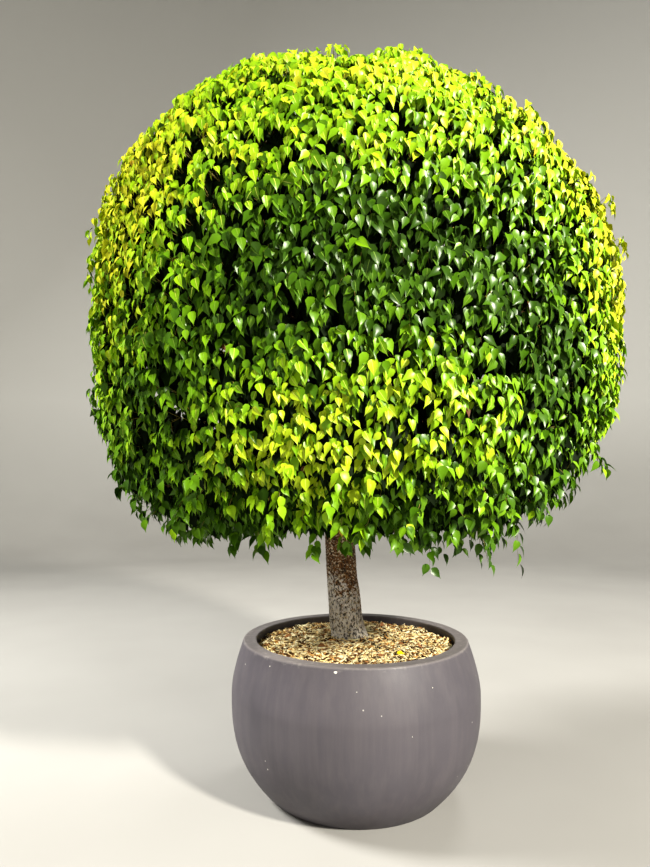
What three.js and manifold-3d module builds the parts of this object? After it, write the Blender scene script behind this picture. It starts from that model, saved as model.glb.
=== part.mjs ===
// Standard ("lollipop") weeping fig, clipped to one round head on a clear leaning stem,
// planted in a big round-bellied pot. Millimetres, +Z up.
// Origin: on the ground, at the centre of the pot's flat underside.
// -Y is the side the tree is usually seen from, +X is to the viewer's right.
import * as THREE from 'three';
import Module from 'manifold-3d';
import { mergeVertices } from 'three/addons/utils/BufferGeometryUtils.js';

// ---------------------------------------------------------------- driving dimensions
const GAP = 0.35;              // clearance between pieces that touch

// pot
const POT_HEIGHT = 758;        // ground to the top of the lip
const POT_BELLY_R = 648;       // widest radius
const POT_BELLY_Z = 513;       // height of the widest place
const POT_BASE_R = 456;        // flat foot
const POT_LIP_OUTER_R = 588;
const POT_LIP_INNER_R = 520;
const POT_LIP_DEPTH = 62;      // straight inner face of the lip
const POT_WALL = 46;           // measured level
const POT_FLOOR = 45;
const POT_UPPER_POWER = 1.494; // how quickly the shoulder draws in above the belly
const POT_LOWER_POWER = 2.837; // how quickly the wall draws in below the belly
const POT_LIP_ROUND = 11;
const POT_FOOT_ROUND = 9;
const AROUND = 48;             // facets round the pot

// planting
const SOIL_Z = 690;            // level the stem is planted at
const MULCH_EDGE_Z = 717;      // mulch surface at the wall
const MULCH_MOUND = 25;        // extra height round the stem's foot
const MULCH_MOUND_R = 175;
const MULCH_UNEVEN = 4;

// stem: stations up the centre line {z, x, y, r}
const STEM = [
  { z: SOIL_Z + GAP, x: -20, y: 107, r: 101 },
  { z: 747, x: -26, y: 104, r: 96 },
  { z: 785, x: -34, y: 101, r: 93 },
  { z: 833, x: -42, y: 97, r: 91 },
  { z: 928, x: -51, y: 90, r: 87.5 },
  { z: 1073, x: -67, y: 81, r: 83 },
  { z: 1234, x: -79, y: 72, r: 80 },
  { z: 1370, x: -87, y: 65, r: 81 },
  { z: 1428, x: -90, y: 62, r: 93 },
  { z: 1456, x: -91, y: 61, r: 89 },
  { z: 1472, x: -92, y: 60, r: 62 },
];
const FLARE = 15;              // how far the root flare stands out at soil level
const FLARE_RISE = 52;         // height over which it dies away
const FLARE_LOBES = [          // direction in degrees, strength
  [-25, 1.25], [62, 0.7], [128, 0.9], [205, 0.8], [276, 0.55],
];
const STEM_SIDES = 24;

// main boughs, from the fork: direction and rise in degrees
const BOUGH_BASE_R = 34;
const BOUGH_TIP_R = 25;
const BOUGH_LENGTH = 430;      // before it is cut off at the underside of the head
const BOUGH_START = 46;        // how far from the stem's centre line it begins
const BOUGH_BEND = 9;          // degrees it turns upward along its length
const BOUGH_SIDES = 12;
const BOUGHS = [
  ['bough_front_left', 232, 50],
  ['bough_front_right', 303, 47],
  ['bough_right', 14, 44],
  ['bough_back', 87, 52],
  ['bough_left', 160, 54],
];

// clipped head: a superellipse-like profile, a little different to the left and to the right
const HEAD_TOP_Z = 3698;
const HEAD_WIDEST_Z = 2443;
const HEAD_LOW_Z = 1324;       // where the outer curve would close if the head were solid below
const HEAD_LEFT = { r: 1358, topN: 2.925, topM: 1.85, lowN: 2.921, lowM: 5.88 };
const HEAD_RIGHT = { r: 1341, topN: 1.904, topM: 1.869, lowN: 3.232, lowM: 3.392 };
const HEAD_UNEVEN = 0.0135;    // of the radius: what the shears leave
// places cut in or left fuller: direction, fall, half-widths in direction and fall (degrees), share of the radius
const HEAD_PATCHES = [
  [-4, 38, 30, 12, -0.036], [-62, 47, 22, 12, 0.02], [176, 44, 24, 9, -0.02], [200, 52, 16, 8, 0.014],
];
const HEAD_RIM_R = 850;        // lower edge, where the leafy skin turns under
const HEAD_AROUND = 44;
const HEAD_TOP_RINGS = 14;
const HEAD_LOW_RINGS = 9;
// underside: share of the rim's radius, height above the rim
const HEAD_UNDER = [
  [0.935, -16], [0.86, -17], [0.77, 8], [0.66, 66], [0.54, 140], [0.4, 215], [0.26, 268], [0.13, 292],
];
const HEAD_UNDER_POLE = 300;
// shoots that hang lower than the clipped edge: x, y, spread, drop
const HANGING = [
  [430, -330, 210, 62], [300, 260, 200, 34], [-420, -300, 190, 20],
];

// colours (linear workflow is left to the viewer)
const COLOUR = {
  pot: 0x8c8580, mix: 0x3a2c22, mulch: 0xb9945e, stem: 0x8f8578, bough: 0x7d6f60, head: 0x5f8f22,
};

// ---------------------------------------------------------------- helpers
const rad = (d) => (d * Math.PI) / 180;

// A closed solid from rings of equally many points, with a fan at each end.
function ringSolid(rings, endA, endB) {
  const n = rings[0].length;
  const pts = [...rings.flat(), endA, endB];
  const a = rings.length * n;
  const b = a + 1;
  const tri = [];
  for (let i = 0; i + 1 < rings.length; i++) {
    for (let k = 0; k < n; k++) {
      const p = i * n + k;
      const q = i * n + ((k + 1) % n);
      tri.push(p, q, q + n, p, q + n, p + n);
    }
  }
  const last = (rings.length - 1) * n;
  for (let k = 0; k < n; k++) {
    const k2 = (k + 1) % n;
    tri.push(a, k2, k);
    tri.push(b, last + k, last + k2);
  }
  return fromTriangles(pts, tri);
}

// Geometry from points and indices, turned so that its faces look outwards.
function fromTriangles(pts, tri) {
  const pos = new Float32Array(pts.flatMap((p) => [p.x, p.y, p.z]));
  let volume = 0;
  for (let i = 0; i < tri.length; i += 3) {
    const [p, q, r] = [pts[tri[i]], pts[tri[i + 1]], pts[tri[i + 2]]];
    volume += p.dot(new THREE.Vector3().crossVectors(q, r));
  }
  const index = volume < 0 ? tri.map((v, i) => (i % 3 === 1 ? tri[i + 1] : i % 3 === 2 ? tri[i - 1] : v)) : tri;
  const g = new THREE.BufferGeometry();
  g.setAttribute('position', new THREE.BufferAttribute(pos, 3));
  g.setIndex(index);
  return g;
}

// ---------------------------------------------------------------- booleans
const wasm = await Module();
wasm.setup();

function toSolid(geometry) {
  const g = geometry.clone();
  g.deleteAttribute('normal');
  g.deleteAttribute('uv');
  const m = mergeVertices(g, 1e-4);
  return new wasm.Manifold(new wasm.Mesh({
    numProp: 3,
    vertProperties: new Float32Array(m.attributes.position.array),
    triVerts: new Uint32Array(m.index.array),
  }));
}

function toGeometry(solid) {
  const mesh = solid.getMesh();
  const g = new THREE.BufferGeometry();
  g.setAttribute('position', new THREE.BufferAttribute(new Float32Array(mesh.vertProperties), 3));
  g.setIndex(new THREE.BufferAttribute(new Uint32Array(mesh.triVerts), 1));
  return g;
}

// ---------------------------------------------------------------- pot
// Outer radius of the pot at height z.
function potOuter(z) {
  if (z >= POT_BELLY_Z) {
    const s = (z - POT_BELLY_Z) / (POT_HEIGHT - POT_BELLY_Z);
    return POT_LIP_OUTER_R + (POT_BELLY_R - POT_LIP_OUTER_R) * (1 - s ** POT_UPPER_POWER);
  }
  const s = 1 - z / POT_BELLY_Z;
  return POT_BASE_R + (POT_BELLY_R - POT_BASE_R) * (1 - s ** POT_LOWER_POWER);
}

// Inner radius: straight behind the lip, then following the wall.
const innerTurnZ = POT_HEIGHT - POT_LIP_DEPTH - 70;
function potInner(z) {
  const wall = potOuter(z) - POT_WALL;
  if (z >= POT_HEIGHT - POT_LIP_DEPTH) return POT_LIP_INNER_R;
  if (z <= innerTurnZ) return wall;
  const t = (z - innerTurnZ) / (POT_HEIGHT - POT_LIP_DEPTH - innerTurnZ);
  const e = t * t * (3 - 2 * t);
  return wall * (1 - e) + POT_LIP_INNER_R * e;
}

const outerLevels = [60, 130, 205, 285, 365, 440, 513, 580, 640, 695];
const innerLevels = [700, 672, 640, 560, 480, 380, 280, 180, 100];

function potProfile() {
  const p = [new THREE.Vector2(0, 0)];
  const corner = (cx, cz, r, from, to, steps) => {
    for (let i = 0; i <= steps; i++) {
      const a = rad(from + ((to - from) * i) / steps);
      p.push(new THREE.Vector2(cx + r * Math.cos(a), cz + r * Math.sin(a)));
    }
  };
  corner(potOuter(POT_FOOT_ROUND) - POT_FOOT_ROUND - 4, POT_FOOT_ROUND, POT_FOOT_ROUND, -90, -35, 2);
  for (const z of outerLevels) p.push(new THREE.Vector2(potOuter(z), z));
  const lipZ = POT_HEIGHT - POT_LIP_ROUND;
  corner(potOuter(lipZ) - POT_LIP_ROUND, lipZ, POT_LIP_ROUND, 10, 90, 3);
  corner(POT_LIP_INNER_R + 8, POT_HEIGHT - 8, 8, 90, 180, 2);
  for (const z of innerLevels) p.push(new THREE.Vector2(potInner(z), z));
  p.push(new THREE.Vector2(potInner(POT_FLOOR), POT_FLOOR));
  p.push(new THREE.Vector2(0, POT_FLOOR));
  return p;
}

const potGeometry = new THREE.LatheGeometry(potProfile(), AROUND).rotateX(Math.PI / 2);

// The planting mix fills the pot up to SOIL_Z, level by level with the wall's own facets.
function mixProfile() {
  const p = [new THREE.Vector2(0, POT_FLOOR + GAP)];
  p.push(new THREE.Vector2(potInner(POT_FLOOR) - 0.5, POT_FLOOR + GAP));
  for (const z of [...innerLevels].reverse()) {
    if (z < SOIL_Z) p.push(new THREE.Vector2(potInner(z) - 0.5, z));
  }
  const [z0, z1] = [672, 700];
  const t = (SOIL_Z - z0) / (z1 - z0);
  p.push(new THREE.Vector2(potInner(z0) * (1 - t) + potInner(z1) * t - 0.5, SOIL_Z));
  p.push(new THREE.Vector2(0, SOIL_Z));
  return p;
}

const mixGeometry = new THREE.LatheGeometry(mixProfile(), AROUND).rotateX(Math.PI / 2);

// ---------------------------------------------------------------- stem
const stemPath = new THREE.CatmullRomCurve3(
  STEM.map((s) => new THREE.Vector3(s.x, s.y, s.z)), false, 'centripetal',
);

// Radius of the stem at a station in direction a (radians), with flare and a slightly uneven round.
function stemRadius(z, r, a) {
  const die = Math.exp(-(z - SOIL_Z) / FLARE_RISE);
  let lobes = 0;
  for (const [dir, strength] of FLARE_LOBES) {
    const d = Math.cos(a - rad(dir));
    lobes += strength * Math.max(0, d) ** 5;
  }
  return r + FLARE * die * lobes + 1.8 * Math.sin(3 * a + z / 170) + 1.1 * Math.sin(5 * a - z / 95 + 1.3);
}

function stemGeometry(extra = 0) {
  const rings = STEM.map((s) => {
    const ring = [];
    for (let k = 0; k < STEM_SIDES; k++) {
      const a = (2 * Math.PI * k) / STEM_SIDES;
      const r = stemRadius(s.z, s.r, a) + extra;
      ring.push(new THREE.Vector3(s.x + r * Math.cos(a), s.y + r * Math.sin(a), s.z));
    }
    return ring;
  });
  const [foot, top] = [STEM[0], STEM[STEM.length - 1]];
  if (extra) {
    rings.unshift(rings[0].map((v) => new THREE.Vector3(v.x, v.y, v.z - 20)));
    rings[rings.length - 1].forEach((v) => { v.z += extra; });
    rings[rings.length - 2].forEach((v) => { v.z += extra; });
  }
  return ringSolid(
    rings,
    new THREE.Vector3(foot.x, foot.y, extra ? foot.z - 20 : foot.z),
    new THREE.Vector3(top.x, top.y, top.z + extra),
  );
}

const stem = stemGeometry();
const stemClear = toSolid(stemGeometry(GAP + 0.1));

// ---------------------------------------------------------------- mulch
function mulchTop(x, y) {
  const d = Math.hypot(x - STEM[1].x, y - STEM[1].y);
  return MULCH_EDGE_Z + MULCH_MOUND * Math.exp(-((d / MULCH_MOUND_R) ** 2))
    + MULCH_UNEVEN * (0.6 * Math.sin(x / 61 + 0.4) * Math.cos(y / 73) + 0.5 * Math.sin(y / 47 + x / 90 + 2.1));
}

function mulchGeometry() {
  const reach = POT_LIP_INNER_R - 0.5;
  const shares = [0.2, 0.36, 0.52, 0.68, 0.84, 1];
  const ringAt = (share, z) => {
    const ring = [];
    for (let k = 0; k < AROUND; k++) {
      const a = (2 * Math.PI * k) / AROUND;
      const [x, y] = [reach * share * Math.cos(a), reach * share * Math.sin(a)];
      ring.push(new THREE.Vector3(x, y, z === undefined ? mulchTop(x, y) : z));
    }
    return ring;
  };
  const base = SOIL_Z + GAP;
  const rings = shares.map((s) => ringAt(s));
  rings.push(ringAt(1, base));
  return ringSolid(rings, new THREE.Vector3(0, 0, mulchTop(0, 0)), new THREE.Vector3(0, 0, base));
}

const mulch = toGeometry(toSolid(mulchGeometry()).subtract(stemClear));

// ---------------------------------------------------------------- clipped head
function sideRadius(side, z) {
  if (z >= HEAD_WIDEST_Z) {
    const s = Math.min(1, (z - HEAD_WIDEST_Z) / (HEAD_TOP_Z - HEAD_WIDEST_Z));
    return side.r * (1 - s ** side.topN) ** (1 / side.topM);
  }
  const s = Math.min(1, (HEAD_WIDEST_Z - z) / (HEAD_WIDEST_Z - HEAD_LOW_Z));
  return side.r * (1 - s ** side.lowN) ** (1 / side.lowM);
}

// Radius at height z in direction a: the left and the right profile, blended round the head.
function headRadius(z, a) {
  const w = (1 + Math.cos(a)) / 2;
  return sideRadius(HEAD_LEFT, z) * (1 - w) + sideRadius(HEAD_RIGHT, z) * w;
}

// Distance from the head's centre to its surface, at fall p (radians, down positive) and direction a.
function headReach(p, a) {
  let [lo, hi] = [0, 2200];
  for (let i = 0; i < 40; i++) {
    const mid = (lo + hi) / 2;
    const z = HEAD_WIDEST_Z - mid * Math.sin(p);
    const inside = z < HEAD_TOP_Z && z > HEAD_LOW_Z && mid * Math.cos(p) < headRadius(z, a);
    if (inside) lo = mid; else hi = mid;
  }
  return lo;
}

// What the shears leave: broad shallow humps and hollows, and the patches listed above.
function headUneven(p, a) {
  const [x, y, z] = [Math.cos(p) * Math.cos(a), Math.cos(p) * Math.sin(a), -Math.sin(p)];
  const humps = 0.5 * Math.sin(5.3 * x + 1.7 * z + 0.4) * Math.cos(4.1 * y - 0.9)
    + 0.4 * Math.sin(6.1 * z + 2.3 * y + 1.9)
    + 0.35 * Math.sin(8.7 * y + 5.2 * x - 2.2) * Math.cos(7.1 * z + 0.6)
    + 0.25 * Math.sin(11.9 * x - 9.3 * z + 1.1);
  return HEAD_PATCHES.reduce((sum, [dir, fall, wideA, wideP, share]) => {
    const da = Math.atan2(Math.sin(a - rad(dir)), Math.cos(a - rad(dir))) / rad(wideA);
    const dp = (p - rad(fall)) / rad(wideP);
    return sum + share * Math.exp(-da * da - dp * dp);
  }, HEAD_UNEVEN * humps);
}

// Fall angle at which the outer curve comes in to the rim's radius.
function rimFall(a) {
  let [lo, hi] = [rad(25), rad(80)];
  for (let i = 0; i < 40; i++) {
    const mid = (lo + hi) / 2;
    if (headReach(mid, a) * Math.cos(mid) > HEAD_RIM_R) lo = mid; else hi = mid;
  }
  return lo;
}

function headGeometry(lower = 0) {
  const angles = Array.from({ length: HEAD_AROUND }, (_, k) => (2 * Math.PI * k) / HEAD_AROUND);
  const falls = angles.map(rimFall);
  const rings = [];
  const outer = (fallOf) => angles.map((a, k) => {
    const p = fallOf(k);
    const d = headReach(p, a) * (1 + headUneven(p, a));
    return new THREE.Vector3(d * Math.cos(p) * Math.cos(a), d * Math.cos(p) * Math.sin(a), HEAD_WIDEST_Z - d * Math.sin(p));
  });
  for (let i = 1; i <= HEAD_TOP_RINGS; i++) rings.push(outer(() => rad(-90 + (90 * i) / HEAD_TOP_RINGS)));
  for (let i = 1; i <= HEAD_LOW_RINGS; i++) rings.push(outer((k) => (falls[k] * i) / HEAD_LOW_RINGS));
  const rim = rings[rings.length - 1];
  const hang = (x, y) => HANGING.reduce(
    (sum, [hx, hy, spread, drop]) => sum + drop * Math.exp(-((x - hx) ** 2 + (y - hy) ** 2) / spread ** 2), 0,
  );
  for (const [share, rise] of HEAD_UNDER) {
    rings.push(rim.map((v) => {
      const [x, y] = [v.x * share, v.y * share];
      const lump = 15 * Math.sin(x / 130 + 1) * Math.cos(y / 150 - 0.6) + 9 * Math.sin((x + y) / 83);
      return new THREE.Vector3(x, y, v.z + rise + lump * (1 - share ** 6) - hang(x, y) * (1 - share ** 8) - lower);
    }));
  }
  const top = new THREE.Vector3(0, 0, HEAD_WIDEST_Z + headReach(rad(-90), 0) * (1 + headUneven(rad(-90), 0)));
  const meanRim = rim.reduce((s, v) => s + v.z, 0) / rim.length;
  const pole = new THREE.Vector3(0, 0, meanRim + HEAD_UNDER_POLE - lower);
  return ringSolid(rings, top, pole);
}

const head = headGeometry();
const headClear = toSolid(headGeometry(GAP + 0.15));

// ---------------------------------------------------------------- main boughs
function boughGeometry(direction, rise) {
  const start = stemPath.getPoint(1);
  const dir = rad(direction);
  const side = new THREE.Vector3(-Math.sin(dir), Math.cos(dir), 0);
  const steps = 6;
  const centre = new THREE.Vector3(
    start.x + BOUGH_START * Math.cos(dir), start.y + BOUGH_START * Math.sin(dir), start.z - 52,
  );
  const rings = [];
  for (let i = 0; i <= steps; i++) {
    const t = i / steps;
    const e = rad(rise + BOUGH_BEND * t);
    const along = new THREE.Vector3(Math.cos(e) * Math.cos(dir), Math.cos(e) * Math.sin(dir), Math.sin(e));
    const up = new THREE.Vector3().crossVectors(along, side);
    const r = BOUGH_BASE_R + (BOUGH_TIP_R - BOUGH_BASE_R) * t;
    const ring = [];
    for (let k = 0; k < BOUGH_SIDES; k++) {
      const a = (2 * Math.PI * k) / BOUGH_SIDES;
      const rr = r * (1 + 0.035 * Math.sin(2 * a + 5 * t + dir));
      ring.push(centre.clone().addScaledVector(side, rr * Math.cos(a)).addScaledVector(up, rr * Math.sin(a)));
    }
    rings.push(ring);
    if (i < steps) centre.addScaledVector(along, BOUGH_LENGTH / steps);
  }
  const mid = (ring) => ring.reduce((s, v) => s.add(v), new THREE.Vector3()).divideScalar(ring.length);
  return ringSolid(rings, mid(rings[0]), mid(rings[rings.length - 1]));
}

// The limb stands on the fork and ends where it enters the head; only that stretch is kept.
function cutBough(direction, rise) {
  const cut = toSolid(boughGeometry(direction, rise)).subtract(stemClear).subtract(headClear);
  const pieces = cut.decompose();
  pieces.sort((a, b) => b.volume() - a.volume());
  return toGeometry(pieces[0]);
}

// ---------------------------------------------------------------- the whole plant
const tree = new THREE.Group();

function addPart(name, geometry, colour, roughness) {
  const material = new THREE.MeshStandardMaterial({ color: colour, roughness, metalness: 0 });
  const mesh = new THREE.Mesh(geometry, material);
  mesh.name = name;
  tree.add(mesh);
}

addPart('pot', potGeometry, COLOUR.pot, 0.62);
addPart('potting_mix', mixGeometry, COLOUR.mix, 0.95);
addPart('mulch', mulch, COLOUR.mulch, 0.9);
addPart('trunk', stem, COLOUR.stem, 0.85);
for (const [name, direction, rise] of BOUGHS) addPart(name, cutBough(direction, rise), COLOUR.bough, 0.85);
addPart('crown', head, COLOUR.head, 0.5);

export default tree;
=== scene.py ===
"""Clipped standard weeping fig in a round-bellied pot: leaves, twigs, bark, mulch and pot finish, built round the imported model.

Metres, +Z up, origin on the ground under the middle of the pot. Everything random is seeded.
"""

import math

import bpy
import numpy as np
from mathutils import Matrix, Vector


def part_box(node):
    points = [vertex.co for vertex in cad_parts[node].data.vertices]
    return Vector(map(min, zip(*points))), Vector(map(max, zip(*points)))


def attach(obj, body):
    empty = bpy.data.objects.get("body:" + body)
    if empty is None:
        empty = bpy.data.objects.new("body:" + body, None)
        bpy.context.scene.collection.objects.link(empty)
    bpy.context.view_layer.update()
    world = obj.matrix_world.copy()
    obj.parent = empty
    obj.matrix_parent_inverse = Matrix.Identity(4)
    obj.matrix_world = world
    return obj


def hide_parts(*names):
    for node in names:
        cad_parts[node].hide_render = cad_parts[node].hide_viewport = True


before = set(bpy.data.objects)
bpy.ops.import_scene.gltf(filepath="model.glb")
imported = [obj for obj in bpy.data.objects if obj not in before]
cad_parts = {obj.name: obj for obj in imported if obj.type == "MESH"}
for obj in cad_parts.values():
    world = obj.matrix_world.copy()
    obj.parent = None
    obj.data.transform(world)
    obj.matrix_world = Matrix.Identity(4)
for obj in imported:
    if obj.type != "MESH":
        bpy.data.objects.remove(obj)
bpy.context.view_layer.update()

scene = bpy.context.scene
rng = np.random.default_rng(41)
UP = np.array([0.0, 0.0, 1.0])
DOWN = -UP


# ------------------------------------------------------------------ helpers: vectors, noise
def unit(v):
    v = np.asarray(v, float)
    return v / np.maximum(np.linalg.norm(v, axis=-1, keepdims=True), 1e-12)


def smooth01(x):
    x = np.clip(x, 0, 1)
    return x * x * (3 - 2 * x)


def dot(a, b):
    return (a * b).sum(-1, keepdims=True)


_lattice = np.random.default_rng(5).random((64, 64, 64))


def value_noise(p, freq, seed=0):
    """Smooth noise from -1 to 1 at the points p, one lump each 1/freq metres."""
    q = np.asarray(p) * freq + np.array([17.3, 5.1, 29.7]) * (seed + 1)
    i = np.floor(q).astype(int)
    f = q - i
    f = f * f * f * (f * (f * 6 - 15) + 10)
    out = 0
    for dx in (0, 1):
        wx = f[..., 0] if dx else 1 - f[..., 0]
        for dy in (0, 1):
            wy = f[..., 1] if dy else 1 - f[..., 1]
            for dz in (0, 1):
                wz = f[..., 2] if dz else 1 - f[..., 2]
                out = out + wx * wy * wz * _lattice[(i[..., 0] + dx) % 64, (i[..., 1] + dy) % 64, (i[..., 2] + dz) % 64]
    return out * 2 - 1


def fbm(p, freq, octaves=3, seed=0):
    out, amp, total = 0, 1.0, 0
    for k in range(octaves):
        out = out + amp * value_noise(p, freq * 2**k, seed + k)
        total += amp
        amp *= 0.5
    return out / total


# ------------------------------------------------------------------ helpers: meshes
def mesh_object(name, verts, faces, material, smooth=True):
    """An object from arrays: faces is (n, 3) or (n, 4)."""
    verts = np.asarray(verts, np.float32).reshape(-1, 3)
    faces = np.asarray(faces, np.int32)
    n, k = faces.shape
    me = bpy.data.meshes.new(name)
    me.vertices.add(len(verts))
    me.vertices.foreach_set("co", verts.ravel())
    me.loops.add(n * k)
    me.loops.foreach_set("vertex_index", faces.ravel())
    me.polygons.add(n)
    me.polygons.foreach_set("loop_start", np.arange(0, n * k, k, dtype=np.int32))
    if smooth:
        me.polygons.foreach_set("use_smooth", np.ones(n, bool))
    me.update(calc_edges=True)
    me.validate()
    ob = bpy.data.objects.new(name, me)
    scene.collection.objects.link(ob)
    me.materials.append(material)
    return ob


def grid_faces(rows, cols, closed=True):
    """Quads of a grid whose points are numbered row by row; closed joins the last column to the first."""
    i, j = np.meshgrid(np.arange(rows - 1), np.arange(cols if closed else cols - 1), indexing="ij")
    j2 = (j + 1) % cols
    return np.stack([i * cols + j, i * cols + j2, (i + 1) * cols + j2, (i + 1) * cols + j], -1).reshape(-1, 4)


def as_triangles(quads):
    return np.concatenate([quads[:, [0, 1, 2]], quads[:, [0, 2, 3]]])


def piece(ob, slot, *nodes):
    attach(ob, "root")
    if nodes:
        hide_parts(*nodes)
    return ob


# ------------------------------------------------------------------ helpers: materials
def new_material(name):
    m = bpy.data.materials.new(name)
    m.use_nodes = True
    return m, m.node_tree.nodes, m.node_tree.links, m.node_tree.nodes["Principled BSDF"]


def plain(name, colour, roughness, specular=0.5):
    m, nodes, links, bsdf = new_material(name)
    bsdf.inputs["Base Color"].default_value = (*colour, 1)
    bsdf.inputs["Roughness"].default_value = roughness
    bsdf.inputs["Specular IOR Level"].default_value = specular
    m.diffuse_color = (*colour, 1)
    return m


def srgb(r, g, b):
    c = np.array([r, g, b]) / 255
    return tuple(float(x) for x in np.where(c <= 0.04045, c / 12.92, ((c + 0.055) / 1.055) ** 2.4))


class Graph:
    """A few short cuts for making a procedural material."""

    def __init__(self, name):
        self.m, self.nodes, self.links, self.bsdf = new_material(name)
        self.coord = self.nodes.new("ShaderNodeTexCoord").outputs["Object"]

    def link(self, a, b):
        self.links.new(a, b)

    def scaled(self, scale):
        n = self.nodes.new("ShaderNodeMapping")
        n.inputs["Scale"].default_value = scale
        self.link(self.coord, n.inputs["Vector"])
        return n.outputs["Vector"]

    def noise(self, scale, detail=3, rough=0.5, vector=None, distortion=0.0):
        n = self.nodes.new("ShaderNodeTexNoise")
        n.inputs["Scale"].default_value = scale
        n.inputs["Detail"].default_value = detail
        n.inputs["Roughness"].default_value = rough
        n.inputs["Distortion"].default_value = distortion
        self.link(vector or self.coord, n.inputs["Vector"])
        return n.outputs["Fac"]

    def voronoi(self, scale, vector=None, output="Distance"):
        n = self.nodes.new("ShaderNodeTexVoronoi")
        n.inputs["Scale"].default_value = scale
        self.link(vector or self.coord, n.inputs["Vector"])
        return n.outputs[output]

    def ramp(self, fac, stops, colour=False):
        n = self.nodes.new("ShaderNodeValToRGB")
        e = n.color_ramp.elements
        while len(e) < len(stops):
            e.new(0.5)
        for el, (pos, value) in zip(e, stops):
            el.position = pos
            el.color = (*value, 1) if colour else (value, value, value, 1)
        self.link(fac, n.inputs["Fac"])
        return n.outputs["Color"]

    def mix(self, fac, a, b, mode="MIX"):
        n = self.nodes.new("ShaderNodeMix")
        n.data_type = "RGBA"
        n.blend_type = mode
        for socket, value in ((n.inputs[0], fac), (n.inputs[6], a), (n.inputs[7], b)):
            if isinstance(value, (int, float)):
                socket.default_value = value
            elif isinstance(value, tuple):
                socket.default_value = (*value, 1)
            else:
                self.link(value, socket)
        return n.outputs[2]

    def math(self, op, a, b=0.0, clamp=False):
        n = self.nodes.new("ShaderNodeMath")
        n.operation = op
        n.use_clamp = clamp
        for socket, value in zip(n.inputs, (a, b)):
            if isinstance(value, (int, float)):
                socket.default_value = value
            else:
                self.link(value, socket)
        return n.outputs[0]

    def axis(self, which):
        n = self.nodes.new("ShaderNodeSeparateXYZ")
        self.link(self.coord, n.inputs[0])
        return n.outputs[which]

    def bump(self, height, strength, distance):
        n = self.nodes.new("ShaderNodeBump")
        n.inputs["Strength"].default_value = strength
        n.inputs["Distance"].default_value = distance
        self.link(height, n.inputs["Height"])
        self.link(n.outputs["Normal"], self.bsdf.inputs["Normal"])


# ------------------------------------------------------------------ camera, light, floor
cam_data = bpy.data.cameras.new("camera")
cam_data.lens = 27.03
cam_data.sensor_width = 36
cam_data.clip_end = 200
cam = bpy.data.objects.new("camera", cam_data)
cam.location = (-0.160, -3.533, 1.6)
cam.rotation_euler = (math.radians(90 + 3.866), 0, 0)
scene.collection.objects.link(cam)
scene.camera = cam


def look_at(ob, target):
    d = np.array(target, float) - np.array(ob.location)
    yaw = math.atan2(d[1], d[0])
    pitch = math.atan2(d[2], math.hypot(d[0], d[1]))
    ob.rotation_euler = (math.pi / 2 + pitch, 0, yaw - math.pi / 2)


def area_light(name, where, target, size, watts, colour=(1, 1, 1)):
    data = bpy.data.lights.new(name, "AREA")
    data.shape = "DISK"
    data.size = size
    data.energy = watts
    data.color = colour
    ob = bpy.data.objects.new(name, data)
    ob.location = where
    look_at(ob, target)
    scene.collection.objects.link(ob)
    return ob


area_light("key", (6.0, -7.3, 7.0), (0, 0, 1.9), 1.1, 2450, (1.0, 0.95, 0.84))
# the fill lights only light; the leaves' glints all come from the key light
for fill in (
    area_light("front", (-0.4, -8.6, 1.1), (0, 0, 1.5), 2.6, 70, (1.0, 0.97, 0.9)),
    area_light("top", (-1.6, 1.2, 9.5), (0, 0, 2.4), 3.0, 60, (1.0, 0.98, 0.9)),
    area_light("left", (-7.8, 0.6, 7.2), (0, 0, 2.4), 3.2, 1950, (1.0, 0.98, 0.92)),
    area_light("rear", (4.4, 6.8, 8.2), (0, 0, 2.0), 3.0, 420, (1.0, 0.98, 0.94)),
):
    fill.visible_glossy = False

world = bpy.data.worlds.new("studio")
world.use_nodes = True
world.node_tree.nodes["Background"].inputs["Color"].default_value = (0.98, 0.98, 0.96, 1)
world.node_tree.nodes["Background"].inputs["Strength"].default_value = 0.02
scene.world = world
scene.view_settings.view_transform = "Standard"
scene.view_settings.look = "Medium High Contrast"
scene.view_settings.exposure = 0.0


def build_floor():
    """A pale round floor that sweeps up into a backdrop on every side."""
    turn, radius, top, around = 9.5, 5.0, 24.0, 96
    line = [(r, 0.0) for r in (1.5, 3.0, 5.0, 7.0, turn)]
    line += [(turn + radius * math.sin(a), radius - radius * math.cos(a)) for a in np.radians(np.linspace(0, 90, 21))[1:]]
    line.append((turn + radius, top))
    a = np.linspace(0, 2 * np.pi, around, endpoint=False)
    verts = np.array([(r * math.cos(t), r * math.sin(t), z) for r, z in line for t in a] + [(0, 0, 0)])
    quads = grid_faces(len(line), around)
    j = np.arange(around)
    faces = np.vstack([as_triangles(quads[:, ::-1]), np.stack([np.full(around, len(line) * around), j, (j + 1) % around], -1)])
    g = Graph("floor_pale")
    cloth = g.ramp(g.noise(0.9, 2), [(0.3, (0.3, 0.295, 0.285)), (0.7, (0.32, 0.315, 0.305))], True)
    rise = g.ramp(g.math("MULTIPLY", g.axis(2), 0.1), [(0.02, 0.0), (0.35, 1.0)])
    g.link(g.mix(rise, cloth, (0.5, 0.5, 0.49)), g.bsdf.inputs["Base Color"])
    g.bsdf.inputs["Roughness"].default_value = 0.92
    g.bsdf.inputs["Specular IOR Level"].default_value = 0.2
    mesh_object("floor", verts, faces, g.m)


build_floor()


# ------------------------------------------------------------------ pot
POT_H, BELLY_R, BELLY_Z, BASE_R, LIP_R, LIP_IN = 0.758, 0.648, 0.513, 0.456, 0.588, 0.520
WALL, LIP_DEPTH, POT_FLOOR = 0.046, 0.062, 0.045


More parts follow.
